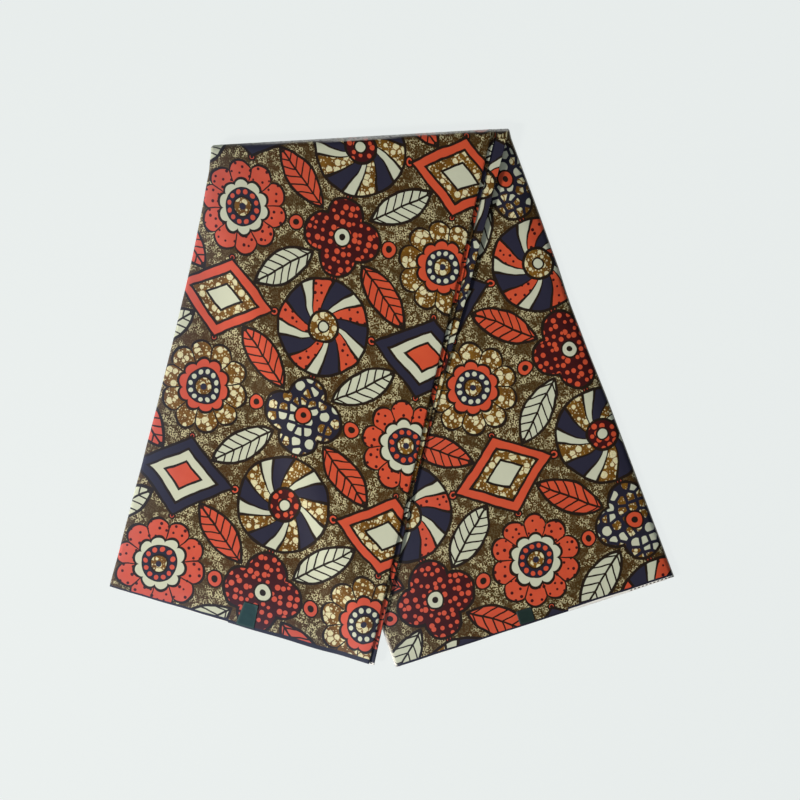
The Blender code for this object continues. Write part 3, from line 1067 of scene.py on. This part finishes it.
def coreRows():
    # the middle of the stack, which the layers at its edges hide
    inset, columns = layerSizes["coreInset"], layerSizes["coreColumns"]
    margin = layerSizes["endDepth"] + inset
    first, last = margin / frontLengths[0], 3 - margin / backLengths[0]
    paths = [first, *rowPaths(layerSizes["coreCell"], first + 0.001, last - 0.001), last]
    low, high, radius = layerSizes["coreBottom"], layerSizes["coreTop"], nose - layerSizes["coreGap"]
    half, quarter = gap + stack / 2, gap + stack / 4
    rows = []
    for path in paths:
        reach = reachOf(path)
        leaf, nest, ends = (reach[name] - layerSizes["depth"][name] - inset for name in reach)
        outline = [(ends, low), (ends, quarter), (nest, quarter), (nest, half), (leaf, half), (leaf, high)]
        outline += [(blend(leaf, nose, i / columns), high) for i in range(1, columns)]
        outline += [(nose + radius * x, gap + nose + radius * y) for share, x, y in halfTurn(90, 6, -180)]
        outline += [(blend(nose, ends, i / columns), low) for i in range(1, columns)]
        rows.append([makeSpot(path, across, level, across) for across, level in outline])
    return rows


def makeInnerLayers(materials):
    tree = nestedLeaves(materials[0])
    paths = rowPaths(leafSizes["cell"])
    depths = [i / 4 * layerSizes["endDepth"] for i in range(5)]
    frontEnds = [depth / frontLengths[0] for depth in depths]
    backEnds = [3 - depth / backLengths[0] for depth in reversed(depths)]
    pitch, runs = band["pitch"], layerSizes["runs"]
    stacks = [  # name, rows, leaves, inner radius, step of the seed
        ("nestFolds", foldRows(paths, "nest", 8, 4, runs["nest"]), 2, pitch / 2, 0),
        ("pairFold", foldRows(paths, "ends", 12, 2, runs["pair"]), 1, pitch / 2, 1),
        ("rawLayer", rawRows(paths, 15, runs["raw"]), 1, 0.0, 2),
    ]
    for leg, ends in (("front", frontEnds), ("back", backEnds)):
        stacks += [
            (leg + "Inner", turnRows(ends, "leaf", "nest", runs["inner"]), 4, pitch / 2, 3),
            (leg + "Outer", turnRows(ends, "leaf", "ends", runs["outer"]), 3, 4.5 * pitch, 7),
            (leg + "Folds", foldRows(ends, "leaf", 0, 8, runs["folds"]), 3, pitch / 2, 9),
        ]
    pieces = [stackLeaves(tree, name, rows, leaves, radius, layerSizes["seed"] + step, materials)
              for name, rows, leaves, radius, step in stacks]
    pieces.append(makePiece("core", coreRows(), materials, closed=True))
    return join("innerLayers", pieces)


# The labels.
labelSizes = {
    "thickness": 0.00022,
    "lift": 0.00012,  # its glue
    "corner": 0.0012,
    "curl": 0.0007,
    "margin": 0.0019,
    "cells": (16, 22),
    "labels": [  # name, node, leg, centre, width, height, turn, taper, face, margin
        ("labelFront", "label_front", "front", (-0.1676, -0.2516), 0.0196, 0.0278, -16.0, -0.26,
         ((36, 64, 70), (44, 76, 82)), (56, 82, 84)),
        # the back label's face and margin are darker than the front label's, as painted shade
        ("labelBack", "label_back", "back", (0.1555, -0.2529), 0.0186, 0.0165, 17.0, 0.0,
         ((22, 40, 38), (28, 50, 46)), (34, 50, 50)),
    ],
}


def upperHeight(leg, plan):
    # the height of the cloth's upper side
    if leg == "front":
        return 2 * (stack + gap) - drapeAt(plan) + ripple(leg, plan)
    return stack - droopAt(plan) + ripple(leg, plan)


def makeLabel(name, leg, centre, width, height, turn, taper, film):
    turned, rows = Matrix.Rotation(math.radians(turn), 2), []
    corner, (columns, lines) = labelSizes["corner"], labelSizes["cells"]
    for j in range(lines + 1):
        row = []
        for i in range(columns + 1):
            s, t = i / columns - 0.5, j / lines - 0.5
            x, y = s * width * (1 + taper * t), t * height
            past = [max(0.0, abs(s * width) - width / 2 + corner), max(0.0, abs(y) - height / 2 + corner)]
            if math.hypot(*past) > corner:  # round the corners
                pull = 1 - corner / math.hypot(*past)
                x -= math.copysign(pull * past[0], x)
                y -= math.copysign(pull * past[1], y)
            plan = Vector(centre) + turned @ Vector((x, y))
            curl = labelSizes["curl"] * max(0.0, s + t - 0.62) / 0.38
            at = Vector((plan.x, plan.y, upperHeight(leg, plan) + labelSizes["lift"] + curl))
            margin = min(width / 2 - abs(s * width), height / 2 - abs(y))
            row.append(Spot(at, (x, y), margin, 1.0, 0.0, Vector(), Vector()))
        rows.append(row)
    return thicken(makePiece(name, rows, [film]), labelSizes["thickness"], 1.0, 0)


def makeFilm(name, face, margin):
    # dark green film, paler round its blank face
    material, g = newMaterial(name, {"Specular IOR Level": 0.2})
    cloud = makeCloud(g, 220.0, 0.3)
    colour = g.mix(cloud, *[linear(ink) for ink in face])
    rim = g.inside(g.attribute("selvedge") - labelSizes["margin"], 0.0012)
    g.feed("Base Color", g.mix(rim * 0.7, colour, linear(margin)))
    g.feed("Roughness", cloud * 0.2 + 0.36)
    return material


print("studio")
makeCamera()
makeStudio()

print("cotton")
coverCotton = makeCotton("coverCotton", False)
layerCotton = makeCotton("layerCotton", True)
threadEdge = makeThreadEdge()

print("outer leaf")
coverLeaf = makeCoverLeaf((coverCotton, threadEdge))
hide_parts("outer_leaf")
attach(coverLeaf, "root")

print("layers between")
innerLayers = makeInnerLayers((layerCotton, threadEdge))
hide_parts("inner_layers")
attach(innerLayers, "root")

print("labels")
labels = []
for name, node, *shape, face, margin in labelSizes["labels"]:
    label = makeLabel(name, *shape, makeFilm(name + "Film", face, margin))
    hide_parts(node)
    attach(label, "root")
    labels.append(label)

for piece in (coverLeaf, innerLayers, *labels):
    print(piece.name, len(piece.data.polygons), "faces")
